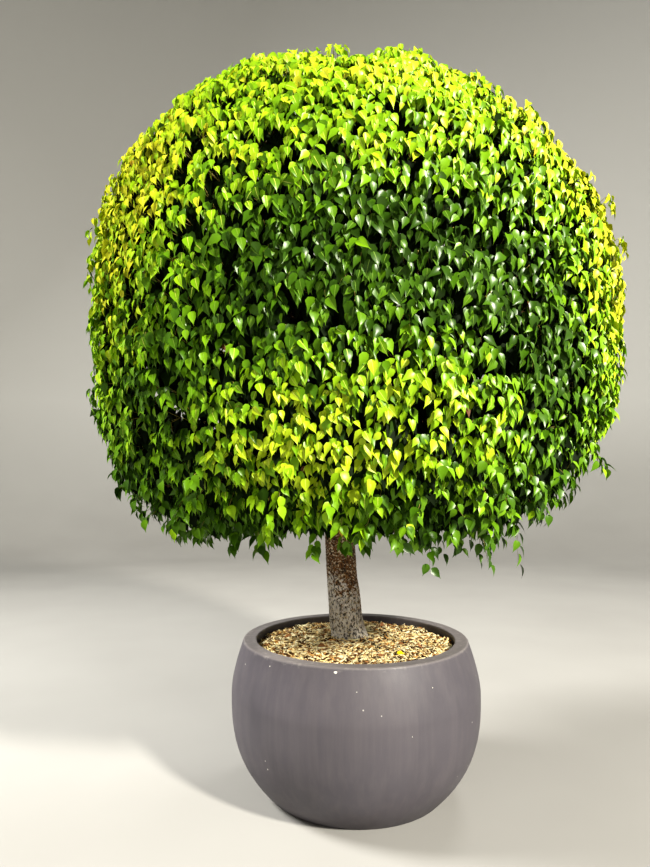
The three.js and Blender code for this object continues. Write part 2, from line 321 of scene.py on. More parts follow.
def pot_outer(z):
    up = np.clip((z - BELLY_Z) / (POT_H - BELLY_Z), 0, 1)
    low = np.clip(1 - z / BELLY_Z, 0, 1)
    return np.where(z >= BELLY_Z, LIP_R + (BELLY_R - LIP_R) * (1 - up**1.494), BASE_R + (BELLY_R - BASE_R) * (1 - low**2.837))


def pot_inner(z):
    turn = POT_H - LIP_DEPTH - 0.07
    e = smooth01((z - turn) / 0.07)
    return np.where(z >= POT_H - LIP_DEPTH, LIP_IN, (pot_outer(z) - WALL) * (1 - e) + LIP_IN * e)


def pot_profile():
    """Radius and height from the middle of the underside, up the outside, over the lip and down inside to the floor."""
    rows = [(0.0, 0.0), (0.15, 0.0), (0.3, 0.0), (0.4, 0.0)]
    foot = 0.008
    base = float(pot_outer(foot)) - foot - 0.003
    rows += [(base + foot * math.cos(a), foot + foot * math.sin(a)) for a in np.radians(np.linspace(-90, -35, 6))]
    for z in np.linspace(0.014, POT_H - 0.024, 60):
        rows.append((float(pot_outer(z)), float(z)))
    edge = 0.012
    lip = float(pot_outer(POT_H - edge)) - edge
    rows += [(lip + edge * math.cos(a), POT_H - edge + edge * math.sin(a)) for a in np.radians(np.linspace(12, 90, 9))]
    # the lip is very slightly dished
    inner = 0.007
    for u in np.linspace(0.15, 0.85, 5):
        r = lip + (LIP_IN + inner - lip) * u
        rows.append((r, POT_H - 0.0012 * math.sin(math.pi * u)))
    rows += [(LIP_IN + inner + inner * math.cos(a), POT_H - inner + inner * math.sin(a)) for a in np.radians(np.linspace(90, 180, 6))]
    for z in np.linspace(POT_H - 0.02, POT_H - 0.1, 9):
        rows.append((float(pot_inner(z)), float(z)))
    for z in np.linspace(0.62, POT_FLOOR, 12):
        rows.append((float(pot_inner(z)), float(z)))
    rows.append((0.0, POT_FLOOR))
    return np.array(rows)


SPLASHES = [(-101.0, 0.738, 0.009, 0.006), (-134.0, 0.722, 0.003, 0.0025), (-92.0, 0.664, 0.0022, 0.002), (-58.5, 0.655, 0.002, 0.0035),
            (-70.0, 0.47, 0.0018, 0.003)]


def build_pot():
    prof = pot_profile()
    around = 144
    a = np.linspace(0, 2 * np.pi, around, endpoint=False)
    body = prof[1:-1]
    r, z = body[:, :1], np.repeat(body[:, 1:], around, 1)
    pts = np.stack([r * np.cos(a), r * np.sin(a), z], -1)
    # a moulded wall is never quite true: half a millimetre of wander, none at the foot
    flat = pts.reshape(-1, 3)
    wander = value_noise(flat, 4.0, 3) * 0.0007 * smooth01((flat[:, 2] - 0.03) / 0.2) * (flat[:, 2] < POT_H - 0.004)
    out = unit(flat * [1, 1, 0])
    flat = flat + out * wander[:, None]
    verts = np.vstack([flat, [[0, 0, prof[0, 1]], [0, 0, prof[-1, 1]]]])
    n = len(body)
    faces = as_triangles(grid_faces(n, around))
    k = np.arange(around)
    k2 = (k + 1) % around
    bottom = np.stack([np.full(around, n * around), k2, k], -1)
    top = np.stack([np.full(around, n * around + 1), (n - 1) * around + k, (n - 1) * around + k2], -1)
    g = Graph("pot_matte")
    # even taupe grey with faint runs down the wall, soft cloudiness, pale scuffs on the edges, the lip's top lighter,
    # partly dust and partly painted light, and a few white specks
    cloud = g.ramp(g.noise(2.6, 4, 0.55), [(0.3, 0.0), (0.72, 1.0)])
    base = g.mix(cloud, srgb(75, 72, 79), srgb(86, 82, 88))
    runs = g.ramp(g.noise(1.0, 4, 0.6, g.scaled((26, 26, 1.1))), [(0.42, 0.0), (0.78, 1.0)])
    base = g.mix(g.math("MULTIPLY", runs, 0.22), base, srgb(114, 108, 109))
    dark_runs = g.ramp(g.noise(1.0, 3, 0.5, g.scaled((15, 15, 0.7)), 0.3), [(0.5, 0.0), (0.8, 1.0)])
    base = g.mix(g.math("MULTIPLY", dark_runs, 0.25), base, srgb(68, 65, 70))
    height = g.axis(2)
    near_lip = g.ramp(height, [(0.735, 0.0), (0.756, 1.0)])
    scuff = g.ramp(g.noise(34, 5, 0.7), [(0.52, 0.0), (0.66, 1.0)])
    base = g.mix(g.math("MULTIPLY", g.math("MULTIPLY", near_lip, scuff), 0.5), base, srgb(146, 141, 138))
    # the top of the lip painted lighter: partly dust, partly painted light where the head's shadow falls on it
    dust_and_lit_top = g.ramp(height, [(0.748, 0.0), (0.757, 1.0)])
    base = g.mix(g.math("MULTIPLY", dust_and_lit_top, 0.4), base, srgb(148, 142, 139))
    splash = g.ramp(height, [(0.0, 1.0), (0.16, 0.0)])
    dirt = g.ramp(g.noise(9, 5, 0.65), [(0.4, 0.0), (0.7, 1.0)])
    base = g.mix(g.math("MULTIPLY", g.math("MULTIPLY", splash, dirt), 0.4), base, srgb(82, 74, 67))
    dots = g.ramp(g.voronoi(13), [(0.035, 1.0), (0.055, 0.0)])
    some = g.ramp(g.noise(3.1, 1), [(0.6, 0.0), (0.64, 1.0)])
    base = g.mix(g.math("MULTIPLY", g.math("MULTIPLY", dots, some), 0.75), base, srgb(226, 222, 214))
    grit = g.ramp(g.voronoi(60), [(0.03, 1.0), (0.06, 0.0)])
    base = g.mix(g.math("MULTIPLY", grit, 0.25), base, srgb(140, 135, 134))
    g.link(base, g.bsdf.inputs["Base Color"])
    g.link(g.ramp(g.noise(7, 4), [(0.3, 0.5), (0.7, 0.62)]), g.bsdf.inputs["Roughness"])
    g.bump(g.noise(330, 3, 0.6), 0.12, 0.002)
    ob = mesh_object("pot_shell", verts, np.vstack([faces, bottom, top]), g.m)
    piece(ob, "pot", "pot")
    # a few dried white splashes on the front of the wall, as shallow domes: azimuth, height, half width, half height
    sv, sf = [], []
    for az, z0, w, h in SPLASHES:
        a0, m = math.radians(az), 10
        out = np.array([math.cos(a0), math.sin(a0), 0.0])
        side = np.array([-math.sin(a0), math.cos(a0), 0.0])
        rings = []
        for scale, lift in ((1.0, -0.0006), (0.7, 0.0007)):
            for t in np.linspace(0, 2 * np.pi, m, endpoint=False):
                zz = z0 + h * scale * math.sin(t)
                rings.append(out * (float(pot_outer(zz)) + lift) + side * w * scale * math.cos(t) * (1 + 0.2 * math.sin(3 * t + az)) + UP * zz)
        rings.append(out * (float(pot_outer(z0)) + 0.0011) + UP * z0)
        base = len(sv) * (2 * m + 1)
        sv.append(np.array(rings))
        sf += [(base + k, base + (k + 1) % m, base + m + (k + 1) % m) for k in range(m)]
        sf += [(base + k, base + m + (k + 1) % m, base + m + k) for k in range(m)]
        sf += [(base + m + k, base + m + (k + 1) % m, base + 2 * m) for k in range(m)]
        sf += [(base, base + k + 1, base + k) for k in range(1, m - 1)]
    piece(mesh_object("pot_splashes", np.vstack(sv), sf, plain("splash_white", srgb(226, 224, 214), 0.7, 0.3)), "pot")


build_pot()

soil = Graph("damp_mix")
soil.link(soil.ramp(soil.noise(60, 5, 0.7), [(0.3, (0.02, 0.013, 0.009)), (0.7, (0.07, 0.045, 0.03))], True), soil.bsdf.inputs["Base Color"])
soil.bsdf.inputs["Roughness"].default_value = 0.95
soil.bump(soil.noise(120, 4), 0.6, 0.01)
mix_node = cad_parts["potting_mix"]
mix_node.data.materials.clear()
mix_node.data.materials.append(soil.m)


# ------------------------------------------------------------------ stem and main boughs
STEM = np.array([
    (0.69035, -0.020, 0.107, 0.101), (0.747, -0.026, 0.104, 0.096), (0.785, -0.034, 0.101, 0.093),
    (0.833, -0.042, 0.097, 0.091), (0.928, -0.051, 0.090, 0.0875), (1.073, -0.067, 0.081, 0.083),
    (1.234, -0.079, 0.072, 0.080), (1.370, -0.087, 0.065, 0.081), (1.428, -0.090, 0.062, 0.093),
    (1.456, -0.091, 0.061, 0.089), (1.472, -0.092, 0.060, 0.062),
])
FLARE, FLARE_RISE = 0.015, 0.052
LOBES = [(-25, 1.25), (62, 0.7), (128, 0.9), (205, 0.8), (276, 0.55)]
FORK = np.array([-0.092, 0.060, 1.472])
BOUGHS = {
    "bough_front_left": (232, 50), "bough_front_right": (303, 47), "bough_right": (14, 44),
    "bough_back": (87, 52), "bough_left": (160, 54),
}
BOUGH_LENGTH, BOUGH_STEPS, BOUGH_BEND = 0.43, 6, 9


def curve_through(keys, values, at):
    """Smooth interpolation (cubic Hermite) of the columns of values, given at keys, at the places asked."""
    keys, values = np.asarray(keys, float), np.asarray(values, float)
    slope = np.gradient(values, keys, axis=0)
    i = np.clip(np.searchsorted(keys, at, side="right") - 1, 0, len(keys) - 2)
    h = (keys[i + 1] - keys[i])[:, None]
    t = ((at - keys[i]) / h[:, 0])[:, None]
    return ((2 * t**3 - 3 * t**2 + 1) * values[i] + (t**3 - 2 * t**2 + t) * h * slope[i]
            + (-2 * t**3 + 3 * t**2) * values[i + 1] + (t**3 - t**2) * h * slope[i + 1])


def relief(p, along, strength=1.0):
    """Height of the bark at the points p: broad unevenness, low ridges along the limb and small rough warts."""
    q = p - along * dot(p, along) * 0.72
    broad = value_noise(p, 9, 11) * 0.0022
    ridges = fbm(q, 42, 3, 21) * 0.0016
    warts = np.maximum(value_noise(p, 95, 31) - 0.25, 0) * 0.0032
    fine = value_noise(p, 210, 41) * 0.0004
    return strength * (broad + ridges + warts + fine)


def build_limbs():
    verts, faces, count = [], [], 0

    def add(rings, start_cap, end_cap):
        nonlocal count
        n, k = rings.shape[:2]
        verts.append(rings.reshape(-1, 3))
        verts.append(np.array([start_cap, end_cap]))
        f = [as_triangles(grid_faces(n, k))]
        j = np.arange(k)
        j2 = (j + 1) % k
        f.append(np.stack([np.full(k, n * k), j2, j], -1))
        f.append(np.stack([np.full(k, n * k + 1), (n - 1) * k + j, (n - 1) * k + j2], -1))
        faces.append(np.vstack(f) + count)
        count += n * k + 2

    # stem
    rows, around = 170, 84
    z = np.linspace(STEM[0, 0], STEM[-1, 0], rows)
    c = curve_through(STEM[:, 0], STEM[:, 1:], z)
    c[:, 2] = np.interp(z, STEM[:, 0], STEM[:, 3]) * 0.35 + c[:, 2] * 0.65
    a = np.linspace(0, 2 * np.pi, around, endpoint=False)
    die = np.exp(-(z - STEM[0, 0]) / FLARE_RISE)[:, None]
    lobes = sum(s * np.maximum(0, np.cos(a - math.radians(d))) ** 5 for d, s in LOBES)
    zz = z[:, None] * 1000
    r = c[:, 2:3] + FLARE * die * lobes + 0.0018 * np.sin(3 * a + zz / 170) + 0.0011 * np.sin(5 * a - zz / 95 + 1.3)
    ring = np.stack([np.cos(a) * np.ones_like(r), np.sin(a) * np.ones_like(r), np.zeros_like(r)], -1)
    pts = np.stack([c[:, :1] + r * np.cos(a), c[:, 1:2] + r * np.sin(a), np.repeat(z[:, None], around, 1)], -1)
    up = np.broadcast_to(UP, pts.shape)
    fade = smooth01((z - STEM[0, 0]) / 0.01)[:, None, None] * smooth01((STEM[-1, 0] - z) / 0.012)[:, None, None]
    pts = pts + ring * relief(pts, up)[..., None] * fade
    add(pts, [c[0, 0], c[0, 1], z[0]], [c[-1, 0], c[-1, 1], z[-1]])
    # boughs, each with a thicker collar where it leaves the fork, as far as their CAD solids reach
    ends = {}
    for name, (direction, rise) in BOUGHS.items():
        d = math.radians(direction)
        side = np.array([-math.sin(d), math.cos(d), 0])
        centre = FORK + np.array([0.046 * math.cos(d), 0.046 * math.sin(d), -0.052])
        line = [centre]
        for i in range(BOUGH_STEPS):
            e = math.radians(rise + BOUGH_BEND * i / BOUGH_STEPS)
            line.append(line[-1] + np.array([math.cos(e) * math.cos(d), math.cos(e) * math.sin(d), math.sin(e)]) * BOUGH_LENGTH / BOUGH_STEPS)
        line = np.array(line)
        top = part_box(name)[1].z - 0.014
        t_end = float(np.interp(top, line[:, 2], np.linspace(0, 1, len(line))))
        n = 44
        t = np.linspace(0, t_end, n)
        mid = curve_through(np.linspace(0, 1, len(line)), line, t)
        along = unit(np.gradient(mid, axis=0))
        up2 = unit(np.cross(along, side))
        k = 28
        a = np.linspace(0, 2 * np.pi, k, endpoint=False)
        s = t * BOUGH_LENGTH
        r = 0.034 + (0.025 - 0.034) * t + 0.012 * np.exp(-((s / 0.075) ** 2))
        wob = 1 + 0.035 * np.sin(2 * a[None, :] + 5 * t[:, None] + d) + 0.02 * np.sin(3 * a[None, :] - 9 * t[:, None])
        rad = side * np.cos(a)[None, :, None] + up2[:, None, :] * np.sin(a)[None, :, None]
        pts = mid[:, None] + rad * (r[:, None] * wob)[..., None]
        pts = pts + rad * relief(pts, np.broadcast_to(along[:, None], pts.shape), 0.7)[..., None]
        add(pts, mid[0], mid[-1])
        ends[name] = (mid[-1], along[-1], float(r[-1]))
    g = Graph("bark")
    # smooth grey skin with dense dark specks low down; redder brown with pale flecks higher up, the two mottled where they meet
    height = g.axis(2)
    wander = g.math("MULTIPLY", g.math("SUBTRACT", g.noise(6.5, 3, 0.6), 0.5), 0.45)
    mottle = g.math("MULTIPLY", g.math("SUBTRACT", g.noise(48, 3, 0.65), 0.5), 0.75)
    side = g.math("MULTIPLY", g.axis(0), 0.7)
    level = g.math("ADD", g.math("ADD", g.math("ADD", height, wander), side), mottle)
    brown = g.ramp(level, [(0.90, 0.0), (1.02, 1.0)])
    grey = g.mix(g.ramp(g.noise(26, 4, 0.6), [(0.35, 0.0), (0.65, 1.0)]), srgb(182, 178, 174), srgb(228, 223, 216))
    red = g.mix(g.ramp(g.noise(31, 4, 0.65), [(0.35, 0.0), (0.68, 1.0)]), srgb(76, 50, 30), srgb(130, 92, 56))
    base = g.mix(brown, grey, red)
    specks = g.ramp(g.noise(1.0, 3, 0.62, g.scaled((96, 96, 66)), 0.4), [(0.5, 0.0), (0.56, 1.0)])
    base = g.mix(g.math("MULTIPLY", specks, 0.9), base, srgb(48, 40, 32))
    flecks = g.ramp(g.noise(1.0, 3, 0.58, g.scaled((88, 88, 112)), 0.3), [(0.555, 0.0), (0.605, 1.0)])
    base = g.mix(g.math("MULTIPLY", flecks, 0.78), base, srgb(210, 196, 168))
    blots = g.ramp(g.noise(13, 4, 0.7), [(0.58, 0.0), (0.68, 1.0)])
    base = g.mix(g.math("MULTIPLY", blots, 0.35), base, srgb(66, 50, 32))
    g.link(base, g.bsdf.inputs["Base Color"])
    g.bsdf.inputs["Roughness"].default_value = 0.82
    g.bsdf.inputs["Specular IOR Level"].default_value = 0.25
    g.bump(g.noise(150, 5, 0.65), 0.45, 0.003)
    ob = mesh_object("stem_and_boughs", np.vstack(verts), np.vstack(faces), g.m)
    piece(ob, "bark", "trunk", *BOUGHS)
    return ends, g.m


bough_ends, bark = build_limbs()


# ------------------------------------------------------------------ the head's clipped surface, from its CAD solid
def crown_surface():
    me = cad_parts["crown"].data
    me.calc_loop_triangles()
    v = np.zeros(len(me.vertices) * 3, np.float32)
    me.vertices.foreach_get("co", v)
    v = v.reshape(-1, 3).astype(float)
    t = np.zeros(len(me.loop_triangles) * 3, np.int32)
    me.loop_triangles.foreach_get("vertices", t)
    t = t.reshape(-1, 3)
    _, first, inverse = np.unique(np.round(v, 4), axis=0, return_index=True, return_inverse=True)
    v, t = v[first], inverse.reshape(-1)[t]
    cross = np.cross(v[t[:, 1]] - v[t[:, 0]], v[t[:, 2]] - v[t[:, 0]])
    volume = (v[t[:, 0]] * cross).sum()
    if volume < 0:
        t, cross = t[:, ::-1], -cross
    normal = np.zeros_like(v)
    for k in range(3):
        np.add.at(normal, t[:, k], cross)
    return v, t, unit(normal), np.linalg.norm(cross, axis=1) / 2


CV, CT, CN, CA = crown_surface()


def surface_points(n, r):
    """n random points of the surface, evenly by area, with their outward directions."""
    tri = r.choice(len(CT), n, p=CA / CA.sum())
    a, b = r.random(n), r.random(n)
    flip = a + b > 1
    a[flip], b[flip] = 1 - a[flip], 1 - b[flip]
    w = np.stack([1 - a - b, a, b], -1)[..., None]
    return (CV[CT[tri]] * w).sum(1), unit((CN[CT[tri]] * w).sum(1))


def thin_out(p, spacing):
    """Indices of a subset of p in which no two points are nearer than their spacing."""
    cell = float(spacing.max())
    grid, keep = {}, []
    ids = np.floor(p / cell).astype(int)
    for i in range(len(p)):
        x, y, z = ids[i]
        near = [j for dx in (-1, 0, 1) for dy in (-1, 0, 1) for dz in (-1, 0, 1) for j in grid.get((x + dx, y + dy, z + dz), ())]
        if near and (((p[near] - p[i]) ** 2).sum(1) < spacing[i] ** 2).any():
            continue
        grid.setdefault((x, y, z), []).append(i)
        keep.append(i)
    return np.array(keep)


def under_head(p, n):
    """1 on the hollow underside, 0 on the clipped outside."""
    r = np.hypot(p[:, 0], p[:, 1])
    return ((r < 0.80) & (p[:, 2] < 2.0)).astype(float)


# ------------------------------------------------------------------ sprays: where they are and how they grow
SPRAY_SPACING, UNDER_SPACING, SPRAY_DEPTH, SHOOTS_EACH = 0.072, 0.1, 0.1, 3
# where the head bulges a little past its CAD solid, and one shoot that stands out: middle, height, radius
BULGES = [((-0.40, -0.77, 3.44), 0.05, 0.23), ((0.34, -0.77, 3.43), 0.04, 0.16), ((0.575, -0.75, 3.32), 0.045, 0.07)]
cand, cand_n = surface_points(30000, rng)
inside = under_head(cand, cand_n)
keep = thin_out(cand, np.where(inside > 0, UNDER_SPACING, SPRAY_SPACING))
S, SN, S_UNDER = cand[keep], cand_n[keep], inside[keep]


def tone_at(p):
    """How yellow the leaves are, 0 deep green to 1 fresh yellow-green: partly young growth on top, partly painted
    light: painted sunlight on the top, on the shoulders and low in front, a painted glow of backlit leaves along the
    rims, and painted shade in patches across the middle.
    """
    az = np.degrees(np.arctan2(p[:, 1], p[:, 0]))
    z = p[:, 2]

    def near(centre, width):
        d = (az - centre + 180) % 360 - 180
        return np.exp(-((d / width) ** 2))

    def level(centre, width):
        return np.exp(-(((z - centre) / width) ** 2))

    # the top: young growth and painted sunlight, less at the back, with a few darker patches of painted shade in front
    top = (0.74 - 0.32 * near(180, 28)) * smooth01((z - 2.42) / 0.58) - 0.2 * level(2.99, 0.14) * near(-93, 16) - 0.2 * level(2.9, 0.18) * near(-62, 16) - 0.14 * level(2.98, 0.16) * near(-108, 11)
    # painted sunlight on the shoulders
    shoulders = 0.7 * level(2.6, 0.36) * near(-134, 19) + 0.36 * level(2.48, 0.26) * near(-49, 18)
    # a painted glow of backlit, sunlit leaves along the left and right rims, with smaller lifts round the sides and
    # back
    rims = level(2.45, 0.7) * (0.62 * near(-153, 15) + 0.14 * near(165, 40) + 0.85 * near(-27, 20) + 0.26 * near(30, 36) + 0.25 * near(95, 50))
    # lighter low down: painted sunlight low in front, and low at the back
    low = level(1.74, 0.36) * (0.82 * near(-98, 30) + 0.45 * near(80, 45)) + 0.25 * level(1.62, 0.22) * near(-57, 17) + 0.2 * level(1.56, 0.17) * near(-104, 14)
    # painted shade and painted light in small patches across the middle
    between = (0.26 * level(1.98, 0.2) * near(-74, 13) + 0.1 * level(1.72, 0.2) * near(-72, 12) - 0.15 * level(2.3, 0.25) * near(-65, 10)
               - 0.17 * level(2.58, 0.17) * near(-82, 13) - 0.13 * level(2.38, 0.2) * near(-87, 11) - 0.2 * level(2.08, 0.14) * near(-52, 11))
    patches = 0.12 * value_noise(p, 2.2, 51) + 0.1 * value_noise(p, 5.0, 52)
    return np.clip(top + shoulders + rims + low + between + patches, -0.1, 1)


def frame_of(normal):
    """Horizontal and downhill directions along a surface with these outward directions."""
    across = unit(np.cross(np.broadcast_to(UP, normal.shape) + 0.02 * rng.normal(size=normal.shape), normal))
    down = -unit(np.cross(across, normal))
    return across, np.where(down[:, 2:3] > 0, -down, down)


def grow_shoots():
    """Arching shoots from the foot of each spray: out towards the clipped surface, along it, and hanging a little at the end."""
    n = len(S)
    across, down = frame_of(SN)
    pockets = np.maximum(0, value_noise(S, 4.6, 61) - 0.1) * 0.035 + np.maximum(0, value_noise(S, 9.5, 62) - 0.15) * 0.06
    pockets *= 1 - 0.75 * smooth01((S[:, 2] - 2.35) / 0.5)
    low = smooth01((-SN[:, 2] - 0.15) / 0.5) * (1 - S_UNDER)
    ragged = 0.006 + 0.05 * np.maximum(0, value_noise(S, 6.3, 63)) + 0.022 * rng.random(n)
    clumps = 0.024 * np.maximum(0, value_noise(S, 7.5, 64))
    margin = 0.007 + np.abs(rng.normal(size=n)) * 0.006 + pockets + ragged * low - clumps
    # here and there a shoot has got away from the shears
    stray = rng.random(n)
    margin -= np.where(stray < 0.12, 0.008 + 0.04 * rng.random(n), 0) * (1 - low)
    for middle, height, radius in BULGES:
        margin -= height * np.exp(-(((S - middle) / radius) ** 2).sum(1))
    steps = np.linspace(0, 1, 7)
    turn = rng.random(n) * 2 * np.pi
    paths = np.zeros((SHOOTS_EACH, n, len(steps), 3))
    wall = np.clip(1 - np.abs(SN[:, 2]), 0, 1)
    for k in range(SHOOTS_EACH):
        a = turn + k * 2 * np.pi / SHOOTS_EACH + rng.normal(size=n) * 0.35
        reach = SPRAY_SPACING * (0.35 + 0.45 * rng.random(n))
        side = (across * np.cos(a)[:, None] + down * np.sin(a)[:, None]) * reach[:, None]
        fall = (0.02 + 0.03 * rng.random(n)) * wall
        deep = SPRAY_DEPTH * (0.8 + 0.4 * rng.random(n))
        end = margin + np.abs(rng.normal(size=n)) * 0.012
        for j, s in enumerate(steps):
            depth = end + (deep - end) * (1 - math.sin(math.pi / 2 * min(1, s / 0.8))) + 0.01 * max(0, s - 0.8) / 0.2
            paths[k, :, j] = (S - SN * depth[:, None] + side * s**0.9 + (down * fall[:, None]) * s * s
                              + UP * (0.03 * math.sin(math.pi * s) * wall)[:, None])
    feet = paths[:, :, 0].mean(0)
    paths[:, :, 0] = feet[None]
    return feet, paths


def grow_hanging():
    """Shoots that hang out of the head: short ones all along its lower edge, longer ones under its front right."""
    p, d = surface_points(9000, rng)
    outer = np.hypot(p[:, 0], p[:, 1])
    edge = np.flatnonzero((p[:, 2] < 1.72) & (d[:, 2] < -0.45) & (outer > 0.78))
    edge = edge[thin_out(p[edge], np.full(len(edge), 0.105))]
    under = np.flatnonzero((p[:, 0] > 0.02) & (p[:, 0] < 0.72) & (p[:, 1] > -0.72) & (p[:, 1] < 0.15) & (d[:, 2] < -0.3) & (p[:, 2] < 1.75))
    under = under[thin_out(p[under], np.full(len(under), 0.15))]
    pick = np.concatenate([edge, under])
    p, d = p[pick], d[pick]
    n = len(p)
    drop = np.where(np.arange(n) < len(edge), 0.015 + 0.065 * rng.random(n) ** 1.5, 0.08 + 0.17 * rng.random(n))
    drop = np.minimum(drop, np.maximum(0.02, p[:, 2] - 1.2))
    lean = np.clip(rng.normal(size=(n, 3)), -1.1, 1.1) * [1, 1, 0] * 0.045
    steps = np.linspace(0, 1, 7)
    foot = p - d * 0.07
    paths = np.zeros((n, len(steps), 3))
    for j, s in enumerate(steps):
        paths[:, j] = foot + (p - foot) * min(1, s * 2.2) + DOWN * (drop * s**1.5)[:, None] + lean * s
    ahead = unit(p * [1, 1, 0] + 1e-4)
    # the last value scales their tints down, most for those under the head: painted shade
    return foot, paths, ahead, np.where(np.arange(n) < len(edge), 0.8, 0.15)


SPRAY_FEET, SHOOTS = grow_shoots()
HANG_FEET, HANGING, HANG_AHEAD, HANG_TONE = grow_hanging()
TONE = tone_at(S)


# ------------------------------------------------------------------ branches: each spray is joined back to a bough's end
def grow_branches():
    """A tree from the boughs' ends to the feet of all the sprays, kept short but never roundabout."""
    centre = np.array([0, 0, 2.3])
    p, _ = surface_points(420, rng)
    guides = centre + (p - centre) * (0.3 + 0.5 * rng.random((len(p), 1)))
    guides = guides[guides[:, 2] > 1.75]
    roots = []
    for end, along, r in bough_ends.values():
        roots.append(end)
    targets = np.vstack([guides, SPRAY_FEET, HANG_FEET])
    n_guides = len(guides)
    nodes = np.vstack([np.array(roots), targets])
    n_roots, n = len(roots), len(nodes)
    parent = np.full(n, -1)
    length = np.zeros(n)
    best = np.full(n, np.inf)
    link = np.full(n, -1)
    done = np.zeros(n, bool)
    direction = np.zeros((n, 3))
    for i, (end, along, r) in enumerate(bough_ends.values()):
        direction[i] = along
    factor = 0.4

    def offer(j):
        d = nodes - nodes[j]
        dist = np.linalg.norm(d, axis=1)
        bend = 1 - (d @ direction[j]) / np.maximum(dist, 1e-9)
        cost = dist * (1 + 0.25 * bend) + factor * length[j]
        better = (cost < best) & ~done
        best[better] = cost[better]
        link[better] = j

    for j in range(n_roots):
        done[j] = True
    for j in range(n_roots):
        offer(j)
    for _ in range(n - n_roots):
        i = int(np.argmin(np.where(done, np.inf, best)))
        done[i] = True
        parent[i] = link[i]
        length[i] = length[link[i]] + np.linalg.norm(nodes[i] - nodes[link[i]])
        direction[i] = unit(nodes[i] - nodes[link[i]])
        offer(i)
    children = [[] for _ in range(n)]
    for i in range(n_roots, n):
        children[parent[i]].append(i)
    # bare guide points at the end of nothing are dropped
    order = np.argsort(-length)
    alive = np.ones(n, bool)
    for i in order:
        if n_roots <= i < n_roots + n_guides and not any(alive[c] for c in children[i]):
            alive[i] = False
    radius = np.zeros(n)
    tip, power = 0.0019, 2.35
    for i in order:
        kids = [radius[c] ** power for c in children[i] if alive[c]]
        radius[i] = max(tip, sum(kids) ** (1 / power)) if kids else tip
    for i in range(n_roots):
        radius[i] = max(radius[i], tip)
    root_r = max(radius[:n_roots])
    gamma = math.log(0.026 / tip) / math.log(root_r / tip)
    radius = tip * (radius / tip) ** gamma
    chains = []
    stack = [(i, None) for i in range(n_roots)]
    while stack:
        i, frm = stack.pop()
        chain = [frm, i] if frm is not None else [i]
        while True:
            kids = sorted((c for c in children[chain[-1]] if alive[c]), key=lambda c: -radius[c])
            if not kids:
                break
            for c in kids[1:]:
                stack.append((c, chain[-1]))
            chain.append(kids[0])
        if len(chain) > 1:
            r = radius[chain].copy()
            if frm is not None:
                r[0] = min(r[0], r[1] * 1.2)
            chains.append((nodes[chain], r))
    first = n_roots + n_guides
    return chains, nodes[parent[first : first + len(SPRAY_FEET)]]


def tubes(paths):
    """Closed tubes along polylines: (points, radii, sides) each. Returns vertices and triangles."""
    verts, faces, count = [], [], 0
    for pts, radii, sides in paths:
        t = unit(np.gradient(pts, axis=0))
        ref = np.array([0.31, 0.27, 0.91]) if abs(t[0] @ np.array([0.31, 0.27, 0.91])) < 0.85 else np.array([0.9, -0.3, 0.1])
        u = unit(np.cross(t, ref))
        w = np.cross(t, u)
        a = np.linspace(0, 2 * np.pi, sides, endpoint=False)
        ring = pts[:, None] + (u[:, None] * np.cos(a)[None, :, None] + w[:, None] * np.sin(a)[None, :, None]) * radii[:, None, None]
        n = len(pts)
        verts.append(ring.reshape(-1, 3))
        f = as_triangles(grid_faces(n, sides))
        caps = [[0, k + 1, k] for k in range(1, sides - 1)] + [[(n - 1) * sides, (n - 1) * sides + k, (n - 1) * sides + k + 1] for k in range(1, sides - 1)]
        faces.append(np.vstack([f, caps]) + count)
        count += n * sides
    return np.vstack(verts), np.vstack(faces)


def spikes(paths):
    """Slender three-sided shoots ending in a point, from paths of three points each, (n, 3, 3)."""
    n = len(paths)
    t = unit(paths[:, 2] - paths[:, 0])
    u = unit(np.cross(t, [0.31, 0.27, 0.91]))
    w = np.cross(t, u)
    a = np.radians([90, 210, 330])
    ring = u[:, None] * np.cos(a)[None, :, None] + w[:, None] * np.sin(a)[None, :, None]
    verts = np.concatenate([paths[:, :1] + ring * 0.0016, paths[:, 1:2] + ring * 0.0012, paths[:, 2:]], 1)
    tri = []
    for k in range(3):
        k2 = (k + 1) % 3
        tri += [(k, k2, 3 + k2), (k, 3 + k2, 3 + k), (3 + k, 3 + k2, 6)]
    return verts.reshape(-1, 3), (np.array(tri)[None] + 7 * np.arange(n)[:, None, None]).reshape(-1, 3)


def smooth_path(pts, radii, step=0.05, wobble=0.05):
    """A curve through a chain of points, with a little wander between them."""
    seg = np.linalg.norm(np.diff(pts, axis=0), axis=1)
    keys = np.concatenate([[0], np.cumsum(np.maximum(seg, 1e-5))])
    count = max(2, int(keys[-1] / step) + 1)
    at = np.linspace(0, keys[-1], count)
    line = curve_through(keys, np.column_stack([pts, radii]), at)
    r = np.interp(at, keys, radii)
    swing = np.minimum(at, keys[-1] - at) * wobble
    off = np.stack([value_noise(line[:, :3], 6, 71 + k) for k in range(3)], -1)
    return line[:, :3] + off * np.minimum(swing, 0.02)[:, None], r


def build_wood():
    chains, spray_from = grow_branches()
    thick, thin, bare = [], [], []
    for pts, radii in chains:
        big = radii.max() > 0.0045
        line, r = smooth_path(pts, radii, 0.045 if big else 0.06)
        sides = 8 if radii.max() > 0.012 else 5 if big else 3
        (thick if big else thin).append((line, r, sides))
        bare.append((line[:-1], line[1:]))
    v, f = tubes(thick)
    piece(mesh_object("branches", v, f, bark), "bark")
    twig = plain("twig", srgb(126, 100, 66), 0.75, 0.3)
    v, f = tubes(thin)
    piece(mesh_object("twigs", v, f, twig), "bark")
    ends = np.concatenate([SHOOTS.reshape(-1, SHOOTS.shape[2], 3), HANGING])[:, [0, 3, 6]]
    v, f = spikes(ends)
    piece(mesh_object("shoots", v, f, plain("young_twig", srgb(138, 128, 62), 0.6, 0.4)), "bark")
    return spray_from, np.concatenate([a for a, _ in bare]), np.concatenate([b for _, b in bare])


SPRAY_FROM, WOOD_FROM, WOOD_TO = build_wood()


